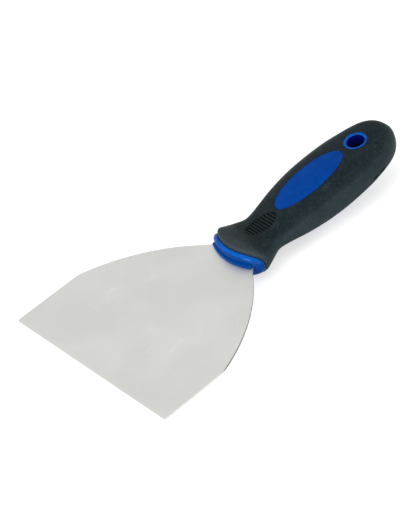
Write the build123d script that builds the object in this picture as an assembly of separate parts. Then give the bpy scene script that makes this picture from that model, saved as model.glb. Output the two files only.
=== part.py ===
from build123d import *
import math
import os

os.makedirs("parts", exist_ok=True)

# A wide putty and filling knife: a flat stainless blade, a hard blue core
# moulded round its tang, and a soft black grip moulded over the core.
# Millimetres. Origin on the axis of the hang hole, in the blade's mid plane.
# +X points to the working edge, +Z is square to the blade.
# Every distance called "dist" is measured back from the working edge.

# ---- blade --------------------------------------------------------------
EDGE_X = 187.0           # working edge, measured from the hang hole
EDGE_WIDTH = 125.0       # width of the working edge
BLADE_T = 1.0            # blade thickness
SIDE_LENGTH = 40.6       # nearly parallel stretch behind the working edge
SIDE_HALF = 61.8         # half width at the end of that stretch
NECK_DIST = 95.0         # where the collar takes over
NECK_HALF = 19.6         # half width of the blade there
FLANK_BULGE = 5.3        # how far the curved flank bows out of its chord
SHOULDER_R = 15.0        # rounding between side and flank
CORNER_R = 0.6           # rounding of the two edge corners
BEVEL_RUN = 1.6          # ground bevel along the working edge
BEVEL_DROP = 0.25

TANG_ROOT = 104.0        # where the neck has narrowed to the tang
TANG_END = 164.0
TANG_HALF = 10.5         # half width at the root
TANG_TIP_HALF = 8.5      # half width at the end
TANG_ROOT_R = 3.0
TANG_TIP_R = 5.0
TANG_HOLE_R = 3.0        # locking holes that the core flows through
TANG_HOLES = (112.0, 136.0, 154.0)

# ---- grip ---------------------------------------------------------------
OVERALL = 208.3          # butt to working edge
POWER = 2.57             # squareness of the oval section
BUTT_RISE = 0.040        # the grip climbs this much per mm
RISE_FROM = 119.0        # behind this distance
BELL_LIFT = 0.5          # the bell sits this much higher than the neck
BELL_BACK = 110.0        # the lift fades out behind here
LIFT_END = 127.0
# Shape of the grip: distance, half width, half thickness.
GRIP = (
    (92.0, 17.6, 8.6),
    (98.0, 19.0, 9.1),
    (104.0, 20.0, 9.4),
    (110.0, 18.3, 6.8),
    (118.0, 14.7, 6.0),
    (126.0, 15.85, 6.55),
    (134.0, 17.4, 8.3),
    (143.0, 19.2, 9.25),
    (153.0, 20.5, 9.7),
    (163.0, 20.7, 10.0),
    (170.0, 20.5, 9.9),
)
BELL_STATIONS = (92.0, 95.0, 98.0, 101.0, 104.0, 107.0, 110.0, 114.0)
GRIP_STATIONS = BELL_STATIONS + (118.0, 122.0, 127.0, 133.0, 140.0, 148.0, 156.0, 164.0)
BUTT_START = 170.0       # behind here the plan closes as half an oval
BUTT_HALF = 20.5
BUTT_POWER = 2.12
BUTT_THICK = ((170.0, 9.9), (187.0, 8.8), (197.0, 9.2))
CAP_START = 197.0        # behind here the thickness closes too
CAP_POWER = 2.3
BUTT_STATIONS = (171.0, 179.0, 187.0, 193.5, 198.5, 202.5, 205.4, 207.3)
WALL = 2.7               # grip material over the core
SPINE_TAIL = (171.0, 179.0, 187.0, 195.0)

# ---- bell, collar and nose: three steps round the blade's root ----------
BELL_FRONT = 97.3        # front of the bell on the centre line
BELL_SWEEP = 29.0        # its front is swept back in plan on this radius
BELL_ROUND = 1.8
LAP = 1.5                # the spine ends this far behind the collar's front
COLLAR_FRONT = 94.5
COLLAR_SWEEP = 33.0
COLLAR_HALF = 19.6
COLLAR_H = 7.6
COLLAR_ROUND = 2.3
COLLAR_BACK_ROUND = 0.9
NOSE_FRONT = 93.5
NOSE_SWEEP = 39.0
NOSE_HALF = 15.8
NOSE_ROUND = 1.5         # rounding of its two front corners in plan
NOSE_H = 2.2
NECK_REACH = 25.0        # how far collar and nose run back before the bell

# ---- inlay, hang hole, thumb patch and slits ----------------------------
INLAY_DIST = 153.9       # elliptical window in the grip, both faces
INLAY_A = 23.0
INLAY_B = 9.25
EYELET_R = 6.35          # boss round the hang hole
EYELET_TOP = 11.65       # flat ends of the boss, just proud of the grip
EYELET_BOTTOM = -6.25
HOLE_R = 4.9
MOUTH = 0.35             # break of the hole's two mouths

PATCH_DIST = 119.2       # ribbed thumb patch, both faces
PATCH_A = 10.3
PATCH_B = 5.9
RECESS = 0.5             # depth of the patch and of the groove round the inlay
INLAY_GROOVE = 0.3       # width of that groove
PATCH_SPAN = (104.0, 133.0)    # stretches of the grip that their floors follow
INLAY_SPAN = (127.0, 179.0)
RIB_MARGIN = 0.9         # smooth rim left round the ribs
RIB_COUNT = 9
RIB_PITCH = 1.8
RIB_GROOVE = 1.0
RIB_DEPTH = 1.4

# Two mould slits on one flank: distance, half width of the grip there.
SLITS = ((181.0, 18.6), (186.6, 17.9))
SLIT_LENGTH = 4.2
SLIT_WIDTH = 0.9
SLIT_DEPTH = 1.2
SLIT_Z = 0.6

FAR = 100.0              # larger than any part of the grip
SECTION_POINTS = 24      # spline points round one oval section


def place(dist):
    """X of a point given its distance behind the working edge."""
    return EDGE_X - dist


def rise(dist):
    """Height of the section's middle above the blade's mid plane."""
    fade = min(max((dist - BELL_BACK) / (LIFT_END - BELL_BACK), 0.0), 1.0)
    lift = BELL_LIFT * (1.0 + math.cos(math.pi * fade)) / 2.0
    return lift + BUTT_RISE * max(dist - RISE_FROM, 0.0)


# ---- blade --------------------------------------------------------------
def mirrored(pt):
    return (pt[0], -pt[1])


def near(points, vertices, tol=0.05):
    found = []
    for v in vertices:
        for p in points:
            if math.hypot(v.X - p[0], v.Y - p[1]) < tol:
                found.append(v)
    return found


def both_sides(pt, plate, radius):
    """The plate with one corner and its mirror image rounded."""
    return plate.fillet_2d(radius, near([pt, mirrored(pt)], plate.vertices()))


def blade_plate():
    """Flat outline of the blade and its tang."""
    flank_run = NECK_DIST - SIDE_LENGTH
    flank_drop = SIDE_HALF - NECK_HALF
    flank_len = math.hypot(flank_run, flank_drop)
    mid_dist = SIDE_LENGTH + flank_run / 2.0 + FLANK_BULGE * flank_drop / flank_len
    mid_half = SIDE_HALF - flank_drop / 2.0 + FLANK_BULGE * flank_run / flank_len

    edge = (EDGE_X, EDGE_WIDTH / 2.0)
    side = (place(SIDE_LENGTH), SIDE_HALF)
    mid = (place(mid_dist), mid_half)
    neck = (place(NECK_DIST), NECK_HALF)
    root = (place(TANG_ROOT), TANG_HALF)
    tail = (place(TANG_END), TANG_TIP_HALF)
    outline = [Edge.make_line(mirrored(edge), edge)]
    outline.append(Edge.make_line(edge, side))
    outline.append(Edge.make_three_point_arc(side, mid, neck))
    outline.append(Edge.make_line(neck, root))
    outline.append(Edge.make_line(root, tail))
    outline.append(Edge.make_line(tail, mirrored(tail)))
    outline.append(Edge.make_line(mirrored(tail), mirrored(root)))
    outline.append(Edge.make_line(mirrored(root), mirrored(neck)))
    outline.append(Edge.make_three_point_arc(mirrored(neck), mirrored(mid), mirrored(side)))
    outline.append(Edge.make_line(mirrored(side), mirrored(edge)))
    plate = Face(Wire(outline))
    plate = both_sides(side, plate, SHOULDER_R)
    plate = both_sides(edge, plate, CORNER_R)
    plate = both_sides(root, plate, TANG_ROOT_R)
    return both_sides(tail, plate, TANG_TIP_R)


def make_blade():
    blade = Pos(0.0, 0.0, -BLADE_T / 2.0) * extrude(blade_plate(), BLADE_T, dir=(0, 0, 1))
    for dist in TANG_HOLES:
        blade -= Pos(place(dist), 0.0, 0.0) * Cylinder(TANG_HOLE_R, 4.0 * BLADE_T)
    slope = BEVEL_DROP / BEVEL_RUN
    past = 0.5               # the bevel cutter runs on this far past the edge
    for side in (1.0, -1.0):
        top = side * BLADE_T / 2.0
        clear = side * (BLADE_T / 2.0 + 1.0)
        front = side * (BLADE_T / 2.0 - BEVEL_DROP - slope * past)
        wedge = [(EDGE_X + past, front), (EDGE_X - BEVEL_RUN, top)]
        wedge += [(EDGE_X - BEVEL_RUN, clear), (EDGE_X + past, clear)]
        face = make_face(Plane.XZ * Polyline(*wedge, close=True))
        blade -= extrude(face, EDGE_WIDTH, both=True)
    return blade


# ---- lofted bodies ------------------------------------------------------
def oval(dist, half, thick, lift):
    """Closed oval wire across the tool at one distance."""
    pts = []
    for i in range(SECTION_POINTS):
        a = 2.0 * math.pi * i / SECTION_POINTS
        c = math.cos(a)
        s = math.sin(a)
        y = half * math.copysign(abs(c) ** (2.0 / POWER), c)
        z = thick * math.copysign(abs(s) ** (2.0 / POWER), s)
        pts.append(Vector(place(dist), y, z + lift))
    return Wire([Edge.make_spline(pts, periodic=True)])


def butt_station(dist):
    """Half width and half thickness of the closing end of the grip."""
    u = (dist - BUTT_START) / (OVERALL - BUTT_START)
    half = BUTT_HALF * math.sqrt(1.0 - u ** BUTT_POWER)
    (d0, t0), (d1, t1), (d2, t2) = BUTT_THICK
    if dist < d1:
        thick = t0 + (t1 - t0) * (dist - d0) / (d1 - d0)
    else:
        thick = t1 + (t2 - t1) * min(dist - d1, d2 - d1) / (d2 - d1)
    v = max(dist - CAP_START, 0.0) / (OVERALL - CAP_START)
    return half, thick * math.sqrt(1.0 - v ** CAP_POWER)


def slope(i, k):
    """Slope of one of the grip's measures at its i-th line."""
    before = GRIP[max(i - 1, 0)]
    after = GRIP[min(i + 1, len(GRIP) - 1)]
    return (after[k] - before[k]) / (after[0] - before[0])


def grip_size(dist):
    """Half width and half thickness of the grip, eased between its lines."""
    i = 0
    while dist > GRIP[i + 1][0]:
        i += 1
    run = GRIP[i + 1][0] - GRIP[i][0]
    t = (dist - GRIP[i][0]) / run
    sizes = []
    for k in (1, 2):
        value = GRIP[i][k] * (1.0 + 2.0 * t) * (1.0 - t) ** 2
        value += GRIP[i + 1][k] * (3.0 - 2.0 * t) * t * t
        value += run * slope(i, k) * t * (1.0 - t) ** 2
        value -= run * slope(i + 1, k) * (1.0 - t) * t * t
        sizes.append(value)
    return sizes


def station(dist, inset):
    """Oval wire of the grip's shape at one distance, drawn in by inset."""
    half, thick = butt_station(dist) if dist > BUTT_START else grip_size(dist)
    return oval(dist, half - inset, thick - inset, rise(dist))


def grip_body():
    """Outside of the whole grip, closed to a point at the butt."""
    wires = [station(dist, 0.0) for dist in GRIP_STATIONS + BUTT_STATIONS]
    tip = Vertex(place(OVERALL), 0.0, rise(OVERALL))
    return Solid.make_loft(wires + [tip], ruled=False)


def inner_body(inset, first=0.0, last=OVERALL):
    """The grip's shape drawn in by inset, between two distances."""
    wires = []
    for dist in GRIP_STATIONS + SPINE_TAIL:
        if first <= dist <= last:
            wires.append(station(dist, inset))
    return Solid.make_loft(wires, ruled=False)


def swept(front, radius):
    """Tall block behind a front that is rounded in plan."""
    x_front = place(front)
    shape = Pos(x_front - radius, 0.0, 0.0) * Cylinder(radius, FAR)
    return shape + Pos(x_front - radius - FAR, 0.0, 0.0) * Box(2.0 * FAR, 2.0 * radius, FAR)


# ---- hard core ----------------------------------------------------------
def make_collar(bell_space):
    bar = Face(oval(COLLAR_FRONT - 2.0, COLLAR_HALF, COLLAR_H, 0.0))
    collar = extrude(bar, NECK_REACH, dir=(-1, 0, 0))
    collar &= swept(COLLAR_FRONT, COLLAR_SWEEP)
    collar -= bell_space
    collar = collar.fillet(COLLAR_ROUND, collar.edges().sort_by(Axis.X)[-1:])
    return collar.fillet(COLLAR_BACK_ROUND, collar.edges().sort_by(Axis.X)[:1])


def make_nose(bell_space):
    nose = Box(NECK_REACH, 2.0 * NOSE_HALF, 2.0 * NOSE_H)
    nose = Pos(place(NOSE_FRONT) - NECK_REACH / 2.0, 0.0, 0.0) * nose
    nose &= swept(NOSE_FRONT, NOSE_SWEEP)
    nose = nose.fillet(NOSE_ROUND, nose.edges().filter_by(Axis.Z).sort_by(Axis.X)[-2:])
    return nose - bell_space


def mouth_cutter(end, turn):
    """Cone that breaks one mouth of the hang hole."""
    cone = Cone(HOLE_R, HOLE_R + MOUTH, MOUTH, align=(Align.CENTER, Align.CENTER, Align.MAX))
    return Pos(0.0, 0.0, end) * Rot(turn, 0.0, 0.0) * cone


def make_core(outer, spine, window, bell_space, blade):
    boss_mid = (EYELET_TOP + EYELET_BOTTOM) / 2.0
    boss = Pos(0.0, 0.0, boss_mid) * Cylinder(EYELET_R, EYELET_TOP - EYELET_BOTTOM)
    core = spine.fuse(make_collar(bell_space), make_nose(bell_space), outer & window, boss)
    core -= Cylinder(HOLE_R, FAR)
    core -= mouth_cutter(EYELET_TOP, 0.0)
    core -= mouth_cutter(EYELET_BOTTOM, 180.0)
    return core - blade


# ---- soft grip ----------------------------------------------------------
def column(dist, a, b):
    """Upright elliptical bar through the grip."""
    return Pos(place(dist), 0.0, 0.0) * extrude(Ellipse(a, b), FAR, both=True)


def patch_cutters():
    """Recess of the thumb patch and the grooves between its ribs, both faces."""
    recess_floor = inner_body(RECESS, *PATCH_SPAN)
    rib_floor = inner_body(RECESS + RIB_DEPTH, *PATCH_SPAN)
    cutters = [column(PATCH_DIST, PATCH_A, PATCH_B) - recess_floor]
    field = column(PATCH_DIST, PATCH_A - RIB_MARGIN, PATCH_B - RIB_MARGIN) - rib_floor
    for i in range(RIB_COUNT):
        x = place(PATCH_DIST) + (i - (RIB_COUNT - 1) / 2.0) * RIB_PITCH
        cutters.append(field & (Pos(x, 0.0, 0.0) * Box(RIB_GROOVE, FAR, FAR)))
    return cutters


def make_grip(outer, spine, window, bell_space):
    bell = outer & bell_space
    bell = bell.fillet(BELL_ROUND, bell.edges().sort_by(Axis.X)[-1:])
    grip = bell - spine - window - Cylinder(EYELET_R, FAR)
    cutters = patch_cutters()
    ring = column(INLAY_DIST, INLAY_A + INLAY_GROOVE, INLAY_B + INLAY_GROOVE)
    cutters.append(ring - window - inner_body(RECESS, *INLAY_SPAN))
    for dist, half in SLITS:
        slit = Box(SLIT_LENGTH, 2.0 * SLIT_DEPTH, SLIT_WIDTH)
        cutters.append(Pos(place(dist), half, SLIT_Z) * slit)
    return grip - cutters


# ---- the three pieces ---------------------------------------------------
blade = make_blade()
outer = grip_body()
bell_space = swept(BELL_FRONT, BELL_SWEEP)
spine = inner_body(WALL) & swept(COLLAR_FRONT + LAP, COLLAR_SWEEP)
window = column(INLAY_DIST, INLAY_A, INLAY_B)

nodes = {
    "blade": blade,
    "handle_core": make_core(outer, spine, window, bell_space, blade),
    "grip_overmould": make_grip(outer, spine, window, bell_space),
}
for name, shape in nodes.items():
    solids = shape.solids()
    print(name, len(solids), round(shape.volume, 1), shape.bounding_box())
    solids[0].label = name
    export_step(solids[0], "parts/" + name + ".step")
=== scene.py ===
import math
import bpy
from mathutils import Matrix, Vector


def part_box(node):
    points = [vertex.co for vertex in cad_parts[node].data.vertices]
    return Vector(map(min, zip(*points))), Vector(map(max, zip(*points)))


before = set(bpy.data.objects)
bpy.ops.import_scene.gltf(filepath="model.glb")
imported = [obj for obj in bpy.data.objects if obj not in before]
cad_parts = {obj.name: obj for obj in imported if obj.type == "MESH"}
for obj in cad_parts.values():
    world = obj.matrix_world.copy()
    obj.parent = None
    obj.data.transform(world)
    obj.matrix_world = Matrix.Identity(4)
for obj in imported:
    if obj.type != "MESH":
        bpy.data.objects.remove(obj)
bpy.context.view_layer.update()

# A wide filling knife on a pale studio floor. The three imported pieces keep
# their shapes; this script gives them their materials, the light and the view.
# Metres, in the part's own frame: origin on the hang hole's axis in the
# blade's mid plane, +X towards the working edge, +Z square to the blade.

# ---- view ---------------------------------------------------------------
VIEW_TARGET = Vector((0.09844, -0.00998, 0.00015))
VIEW_AZIMUTH = 154.56            # degrees, 0 looks along +Y
VIEW_ELEVATION = 39.78
VIEW_ROLL = 21.08                # the camera is held tilted clockwise
VIEW_DISTANCE = 2.664
VIEW_LENS = 359.4                # mm
SENSOR_WIDTH = 36.0              # mm
VIEW_LIMIT = 50.0                # nothing farther off is drawn

# ---- stage and light ----------------------------------------------------
MIDDLE = (0.08, 0.0, 0.0)        # what every light points at
FLOOR_SIZE = 6.0
FLOOR_COLOUR = (0.66, 0.66, 0.66)
FLOOR_GLOW = 0.50                # the floor is a lit table, so its shadows are faint
WORLD_COLOUR = (1.0, 1.0, 1.0)
WORLD_STRENGTH = 0.88
FLOOR_GAP = 0.0001               # the floor lies this far under what rests on it
EDGE_BAND = 0.00001              # depth of the strip taken as the working edge
LAMPS = (                        # name, place, size and power in watts
    ("overhead", (0.1, 0.0, 1.9), 1.6, 2.5),
    ("side", (0.5, 1.9, 0.9), 0.7, 16.0),
    ("front", (1.9, 0.3, 0.7), 0.6, 26.0),
)

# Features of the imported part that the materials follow.
COLLAR_FROM = 0.0800             # forward of this the blue plastic is the collar
RIM_FROM = 0.0830                # forward of this the rubber is the bell's rim
PATCH_CENTRE = (0.0678, 0.0)     # ribbed thumb patch, x and y
RIB_PITCH = 0.0018
PATCH_HALF = (0.0096, 0.0052)    # half length and half width of its ribbed field
GROUND_FROM = 0.146              # forward of this the blade's rim is ground bright
BORE_R = 0.0049                  # hang hole, on the origin

# ---- colours, linear ----------------------------------------------------
STEEL_DIM = (0.685, 0.690, 0.655)
STEEL_BRIGHT = (0.718, 0.723, 0.692)
STEEL_RUBBED = (0.80, 0.80, 0.78)
STEEL_SHEARED = (0.16, 0.18, 0.18)

BLUE_DIM = (0.0, 0.034, 0.205)
BLUE_BRIGHT = (0.0, 0.042, 0.240)
BLUE_SCUFF = (0.004, 0.080, 0.36)
BLUE_DOT = (0.0, 0.02, 0.12)
# Painted highlight: lighter copies of the blue for the collar and the hole ring.
PAINTED_LIT_BLUE_DIM = (0.0, 0.052, 0.260)
PAINTED_LIT_BLUE_BRIGHT = (0.0, 0.078, 0.350)
# Painted shade: darker blue for the upright faces of the collar and hole ring.
PAINTED_SHADE_BLUE_UPRIGHT = (0.0, 0.030, 0.165)
# Painted shade for the inside of the hang hole.
BORE_PAINTED_SHADE = (0.0, 0.002, 0.09)

RUBBER_DIM = (0.0045, 0.0105, 0.0130)
RUBBER_BRIGHT = (0.0085, 0.0160, 0.0190)
# Painted light on the upright sides of the rubber.
RUBBER_PAINTED_SIDE_LIGHT = (0.021, 0.033, 0.038)
# Lighter rim band: dust, and also a painted highlight.
RUBBER_RIM_DUST_AND_HIGHLIGHT = (0.034, 0.043, 0.049)
RUBBER_MOTTLE = (0.040, 0.050, 0.056)
RUBBER_STREAK = (0.035, 0.046, 0.050)
RUBBER_DUST = (0.12, 0.14, 0.145)
RUBBER_SHEEN = (0.72, 0.86, 0.90)
RIB_TOP = (0.014, 0.017, 0.019)
# Painted shade for the rib grooves.
RIB_GROOVE_PAINTED_SHADE = (0.0002, 0.0002, 0.0003)

# ---- sizes of the surface patterns, and depths of their bumps -----------
GRAIN = 0.0012                   # rolled grain of the steel
GRAIN_DEPTH = 0.000006
CLOUDS = 0.035                   # faint patches on the steel
CLOUD_DEPTH = 0.00003
MARKS = 0.009                    # rubbed marks on the steel
FLOW = 0.006                     # flow marks in the blue plastic
FLOW_DEPTH = 0.00004
SCUFFS = 0.0016                  # fine scuffs on the blue plastic
PORES = 0.0009                   # its fine skin
PORE_DEPTH = 0.000012
DOT_GAP = 0.004                  # its dark dots
DOT_R = 0.00028
STIPPLE = 0.00045                # fine texture of the rubber
STIPPLE_DEPTH = 0.00004
PATCHES = 0.012                  # rubbed patches of the rubber
PATCH_DEPTH = 0.00025
STREAKS = 0.0022                 # lengthwise streaks on the rubber
MOTTLE = 0.0011                  # its fine mottling
DUST_GAP = 0.0024                # its dust
DUST_R = 0.00030
FLOOR_MOTTLE = 0.05


class Nodes:
    """Short calls that build one material's node tree."""

    def __init__(self, name):
        self.material = bpy.data.materials.new(name)
        self.material.use_nodes = True
        self.tree = self.material.node_tree
        self.shader = self.tree.nodes["Principled BSDF"]
        self.place = self.new("ShaderNodeTexCoord").outputs["Object"]

    def new(self, kind, **settings):
        node = self.tree.nodes.new(kind)
        for key, value in settings.items():
            setattr(node, key, value)
        return node

    def put(self, socket, value):
        if isinstance(value, bpy.types.NodeSocket):
            self.tree.links.new(value, socket)
        else:
            socket.default_value = value

    def stretched(self, scale):
        node = self.new("ShaderNodeMapping")
        self.put(node.inputs["Vector"], self.place)
        node.inputs["Scale"].default_value = scale
        return node.outputs["Vector"]

    def noise(self, size, detail=3.0, rough=0.55, distort=0.0, vector=None, seed=0.0):
        """Noise whose features are about size metres across."""
        node = self.new("ShaderNodeTexNoise", noise_dimensions="4D")
        self.put(node.inputs["Vector"], vector or self.place)
        node.inputs["W"].default_value = seed
        node.inputs["Scale"].default_value = 1.0 / size
        node.inputs["Detail"].default_value = detail
        node.inputs["Roughness"].default_value = rough
        node.inputs["Distortion"].default_value = distort
        return node.outputs["Fac"]

    def specks(self, spacing, radius, seed):
        """1 inside scattered dots of about radius metres, 0 between them."""
        node = self.new("ShaderNodeTexVoronoi", voronoi_dimensions="4D")
        self.put(node.inputs["Vector"], self.place)
        node.inputs["W"].default_value = seed
        node.inputs["Scale"].default_value = 1.0 / spacing
        return self.steps(node.outputs["Distance"], radius / spacing, 0.3 * radius / spacing)

    def steps(self, value, low, high):
        """Smooth map of value from low..high to 0..1; low may be above high."""
        node = self.new("ShaderNodeMapRange", interpolation_type="SMOOTHSTEP")
        self.put(node.inputs["Value"], value)
        node.inputs["From Min"].default_value = low
        node.inputs["From Max"].default_value = high
        return node.outputs["Result"]

    def span(self, value, low, high):
        """Linear map of a 0..1 value to low..high."""
        node = self.new("ShaderNodeMapRange")
        self.put(node.inputs["Value"], value)
        node.inputs["To Min"].default_value = low
        node.inputs["To Max"].default_value = high
        return node.outputs["Result"]

    def maths(self, operation, a, b=0.0):
        node = self.new("ShaderNodeMath", operation=operation)
        self.put(node.inputs[0], a)
        self.put(node.inputs[1], b)
        return node.outputs[0]

    def blend(self, amount, a, b):
        """Colour a where amount is 0, colour b where it is 1."""
        node = self.new("ShaderNodeMix", data_type="RGBA")
        self.put(node.inputs[0], amount)
        self.put(node.inputs[6], rgba(a))
        self.put(node.inputs[7], rgba(b))
        return node.outputs[2]

    def tint(self, tone, mask, strength, colour):
        """The tone, taken towards colour by strength where mask is 1."""
        return self.blend(self.maths("MULTIPLY", mask, strength), tone, colour)

    def flatness(self):
        """1 where the surface lies square to Z, 0 where it stands upright."""
        geometry = self.new("ShaderNodeNewGeometry")
        split = self.new("ShaderNodeSeparateXYZ")
        self.put(split.inputs[0], geometry.outputs["Normal"])
        return self.maths("ABSOLUTE", split.outputs[2])

    def axes(self):
        split = self.new("ShaderNodeSeparateXYZ")
        self.put(split.inputs[0], self.place)
        return split.outputs

    def ellipse(self, centre, half):
        """How far out of an ellipse seen from above: 1 is on its outline."""
        x, y, _ = self.axes()
        total = 0.0
        for value, middle, size in ((x, centre[0], half[0]), (y, centre[1], half[1])):
            offset = self.maths("DIVIDE", self.maths("SUBTRACT", value, middle), size)
            square = self.maths("POWER", self.maths("ABSOLUTE", offset), 2.0)
            total = self.maths("ADD", square, total)
        return self.maths("SQRT", total)

    def bump(self, height, depth, under=None):
        """Bump whose height runs over depth metres, on top of another one."""
        node = self.new("ShaderNodeBump")
        node.inputs["Strength"].default_value = 1.0
        node.inputs["Distance"].default_value = depth
        self.put(node.inputs["Height"], height)
        if under is not None:
            self.put(node.inputs["Normal"], under)
        return node.outputs["Normal"]

    def set(self, **values):
        """Values or links for the shader's sockets, spaces written as _."""
        for key, value in values.items():
            self.put(self.shader.inputs[key.replace("_", " ")], value)


def rgba(colour):
    if isinstance(colour, bpy.types.NodeSocket):
        return colour
    return (*colour, 1.0)


# ---- materials ----------------------------------------------------------
def satin_steel():
    """Cold rolled stainless: fine lengthwise grain, faint clouds, dull edges."""
    n = Nodes("satin_steel")
    along = n.stretched((0.06, 1.0, 1.0))
    grain = n.noise(GRAIN, 4.0, 0.65, vector=along, seed=1.0)
    clouds = n.noise(CLOUDS, 3.0, 0.5, 0.4, seed=2.0)
    marks = n.noise(MARKS, 4.0, 0.6, 1.2, seed=3.0)
    tone = n.blend(n.steps(clouds, 0.35, 0.65), STEEL_DIM, STEEL_BRIGHT)
    tone = n.tint(tone, n.steps(marks, 0.58, 0.72), 0.35, STEEL_RUBBED)
    edge = n.steps(n.flatness(), 0.75, 0.2)
    sheared = n.steps(n.axes()[0], GROUND_FROM + 0.003, GROUND_FROM - 0.003)
    tone = n.tint(tone, edge, n.span(sheared, 0.25, 1.0), STEEL_SHEARED)
    rough = n.maths("ADD", n.span(grain, 0.44, 0.56), n.span(clouds, -0.03, 0.03))
    fine = n.bump(grain, GRAIN_DEPTH)
    n.set(Base_Color=tone, Metallic=1.0, Roughness=rough, Normal=n.bump(clouds, CLOUD_DEPTH, fine))
    return n.material


def blue_plastic():
    """Hard polypropylene with flow marks and scuffs; coated collar and hole ring with a painted
    highlight, painted shade on their upright faces and in the bore.
    """
    n = Nodes("blue_plastic")
    flow = n.noise(FLOW, 3.0, 0.5, 1.5, seed=4.0)
    along = n.stretched((0.12, 1.0, 1.0))
    scuffs = n.noise(SCUFFS, 3.0, 0.7, vector=along, seed=5.0)
    dots = n.specks(DOT_GAP, DOT_R, 6.0)
    tone = n.blend(n.steps(flow, 0.3, 0.7), BLUE_DIM, BLUE_BRIGHT)
    tone = n.tint(tone, n.steps(scuffs, 0.6, 0.8), 0.25, BLUE_SCUFF)
    tone = n.tint(tone, dots, 0.6, BLUE_DOT)
    # Collar and hole ring: truly smoother and coated, and also painted lighter as a painted
    # highlight.
    polished_and_painted_lit = n.steps(n.axes()[0], COLLAR_FROM - 0.001, COLLAR_FROM + 0.001)
    from_hole = n.ellipse((0.0, 0.0), (BORE_R, BORE_R))
    polished_and_painted_lit = n.maths("MAXIMUM", polished_and_painted_lit, n.steps(from_hole, 1.5, 1.4))
    painted_light_blue = n.blend(n.steps(flow, 0.3, 0.7), PAINTED_LIT_BLUE_DIM, PAINTED_LIT_BLUE_BRIGHT)
    # Painted shade: upright faces of the collar and hole ring are painted darker.
    upright = n.steps(n.flatness(), 0.75, 0.1)
    painted_light_blue = n.blend(upright, painted_light_blue, PAINTED_SHADE_BLUE_UPRIGHT)
    tone = n.blend(polished_and_painted_lit, tone, painted_light_blue)
    # Painted shade: the hang hole's upright inner face is painted near black.
    bore_shade_mask = n.steps(from_hole, 1.06, 1.02)
    bore_shade_mask = n.maths("MULTIPLY", bore_shade_mask, n.steps(n.flatness(), 0.6, 0.3))
    tone = n.tint(tone, bore_shade_mask, 0.95, BORE_PAINTED_SHADE)
    rough = n.maths("ADD", n.span(flow, 0.24, 0.32), n.maths("MULTIPLY", scuffs, 0.12))
    skin = n.bump(n.noise(PORES, 2.0, seed=7.0), PORE_DEPTH)
    rough = n.maths("SUBTRACT", rough, n.maths("MULTIPLY", polished_and_painted_lit, 0.12))
    n.set(Base_Color=tone, Roughness=rough, Normal=n.bump(flow, FLOW_DEPTH, skin))
    n.set(Specular_IOR_Level=0.02, Coat_Roughness=0.14, Coat_IOR=1.4)
    n.set(Coat_Weight=n.span(polished_and_painted_lit, 0.02, 0.14))
    return n.material


def soft_rubber():
    """Charcoal rubber: stipple, dust, sides with painted light, rim with dust and a painted
    highlight, rib grooves with painted shade.
    """
    n = Nodes("soft_rubber")
    stipple = n.noise(STIPPLE, 2.0, 0.6, seed=8.0)
    rubbed = n.noise(PATCHES, 5.0, 0.62, 0.8, seed=9.0)
    along = n.stretched((0.25, 1.0, 1.0))
    streaks = n.noise(STREAKS, 4.0, 0.7, vector=along, seed=10.0)
    dust = n.specks(DUST_GAP, DUST_R, 11.0)
    dust = n.maths("MULTIPLY", dust, n.steps(rubbed, 0.42, 0.58))
    tone = n.blend(n.steps(rubbed, 0.35, 0.68), RUBBER_DIM, RUBBER_BRIGHT)
    # Painted light: the upright sides are painted lighter.
    sides = n.steps(n.flatness(), 0.97, 0.55)
    tone = n.tint(tone, sides, n.span(rubbed, 0.2, 0.9), RUBBER_PAINTED_SIDE_LIGHT)
    # Lighter band towards the bell's rim: partly dust, partly painted highlight.
    rim = n.steps(n.axes()[0], RIM_FROM - 0.005, RIM_FROM + 0.004)
    tone = n.tint(tone, rim, n.span(rubbed, 0.3, 1.1), RUBBER_RIM_DUST_AND_HIGHLIGHT)
    mottle = n.steps(n.noise(MOTTLE, 3.0, 0.7, seed=13.0), 0.45, 0.75)
    tone = n.tint(tone, mottle, n.span(rim, 0.4, 0.9), RUBBER_MOTTLE)
    tone = n.tint(tone, n.steps(streaks, 0.55, 0.8), 0.6, RUBBER_STREAK)
    tone = n.tint(tone, dust, 0.8, RUBBER_DUST)
    patch = n.steps(n.ellipse(PATCH_CENTRE, PATCH_HALF), 1.08, 0.96)
    phase = n.maths("SUBTRACT", n.axes()[0], PATCH_CENTRE[0])
    wave = n.maths("COSINE", n.maths("MULTIPLY", phase, 2.0 * math.pi / RIB_PITCH))
    # Painted shade: the rib grooves are painted near black.
    grooves = n.maths("MULTIPLY", patch, n.steps(wave, -0.3, 0.0))
    tone = n.tint(tone, patch, 0.5, RIB_TOP)
    tone = n.blend(grooves, tone, RIB_GROOVE_PAINTED_SHADE)
    rough = n.maths("ADD", n.span(rubbed, 0.50, 0.62), n.maths("MULTIPLY", stipple, 0.10))
    skin = n.bump(stipple, STIPPLE_DEPTH)
    n.set(Base_Color=tone, Roughness=rough, Normal=n.bump(rubbed, PATCH_DEPTH, skin))
    n.set(Specular_IOR_Level=0.07, Sheen_Weight=0.28, Sheen_Roughness=0.22)
    n.set(Sheen_Tint=rgba(RUBBER_SHEEN))
    return n.material


def floor_paint():
    """Matt pale paint that glows a little."""
    n = Nodes("floor_paint")
    mottle = n.noise(FLOOR_MOTTLE, 2.0, seed=12.0)
    low = tuple(0.985 * c for c in FLOOR_COLOUR)
    n.set(Base_Color=n.blend(mottle, low, FLOOR_COLOUR), Roughness=0.85, Specular_IOR_Level=0.2)
    n.set(Emission_Color=(1.0, 1.0, 1.0, 1.0), Emission_Strength=FLOOR_GLOW)
    return n.material


def dress(node, material):
    """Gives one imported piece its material."""
    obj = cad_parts[node]
    obj.data.materials.clear()
    obj.data.materials.append(material)


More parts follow.
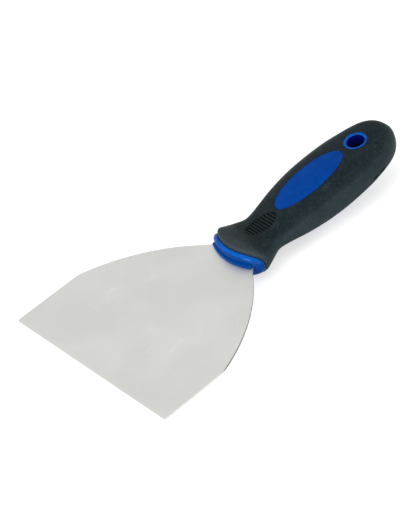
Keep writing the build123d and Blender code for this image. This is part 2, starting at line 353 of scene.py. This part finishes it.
# ---- stage --------------------------------------------------------------
def resting_slope():
    """Working edge's x and lowest z, and the slope of the plane through it and the bell."""
    edge_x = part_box("blade")[1].x
    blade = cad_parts["blade"].data.vertices
    edge_z = min(v.co.z for v in blade if v.co.x > edge_x - EDGE_BAND)
    slope = 0.0
    for node in ("handle_core", "grip_overmould"):
        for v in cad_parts[node].data.vertices:
            slope = max(slope, (edge_z - v.co.z) / (edge_x - v.co.x))
    return edge_x, edge_z, slope


def make_floor():
    edge_x, edge_z, slope = resting_slope()
    half = FLOOR_SIZE / 2.0
    corners = []
    for x, y in ((-half, -half), (half, -half), (half, half), (-half, half)):
        corners.append((x, y, edge_z - FLOOR_GAP + slope * (x - edge_x)))
    mesh = bpy.data.meshes.new("floor")
    mesh.from_pydata(corners, [], [(0, 1, 2, 3)])
    mesh.materials.append(floor_paint())
    floor = bpy.data.objects.new("floor", mesh)
    bpy.context.scene.collection.objects.link(floor)


def make_world():
    world = bpy.data.worlds.new("studio")
    world.use_nodes = True
    shade = world.node_tree.nodes["Background"]
    shade.inputs["Color"].default_value = (*WORLD_COLOUR, 1.0)
    shade.inputs["Strength"].default_value = WORLD_STRENGTH
    bpy.context.scene.world = world


def soft_box(name, place, size, power):
    """Square lamp of soft white light, pointed at MIDDLE."""
    data = bpy.data.lights.new(name, "AREA")
    data.shape = "SQUARE"
    data.size = size
    data.energy = power
    lamp = bpy.data.objects.new(name, data)
    lamp.location = place
    lamp.rotation_euler = (Vector(MIDDLE) - Vector(place)).to_track_quat("-Z", "Y").to_euler()
    bpy.context.scene.collection.objects.link(lamp)


def make_camera():
    azimuth = math.radians(VIEW_AZIMUTH)
    elevation = math.radians(VIEW_ELEVATION)
    roll = math.radians(VIEW_ROLL)
    flat = math.cos(elevation)
    back = Vector((math.sin(azimuth) * flat, -math.cos(azimuth) * flat, math.sin(elevation)))
    level = Vector((math.cos(azimuth), math.sin(azimuth), 0.0))
    rise = back.cross(level)
    right = level * math.cos(roll) - rise * math.sin(roll)
    up = rise * math.cos(roll) + level * math.sin(roll)
    data = bpy.data.cameras.new("camera")
    data.lens = VIEW_LENS
    data.sensor_width = SENSOR_WIDTH
    data.clip_end = VIEW_LIMIT
    camera = bpy.data.objects.new("camera", data)
    turn = Matrix((right, up, back)).transposed().to_4x4()
    camera.matrix_world = Matrix.Translation(VIEW_TARGET + back * VIEW_DISTANCE) @ turn
    bpy.context.scene.collection.objects.link(camera)
    bpy.context.scene.camera = camera


make_camera()
make_world()
make_floor()
for lamp in LAMPS:
    soft_box(*lamp)
bpy.context.scene.view_settings.view_transform = "Standard"

dress("blade", satin_steel())
dress("handle_core", blue_plastic())
dress("grip_overmould", soft_rubber())
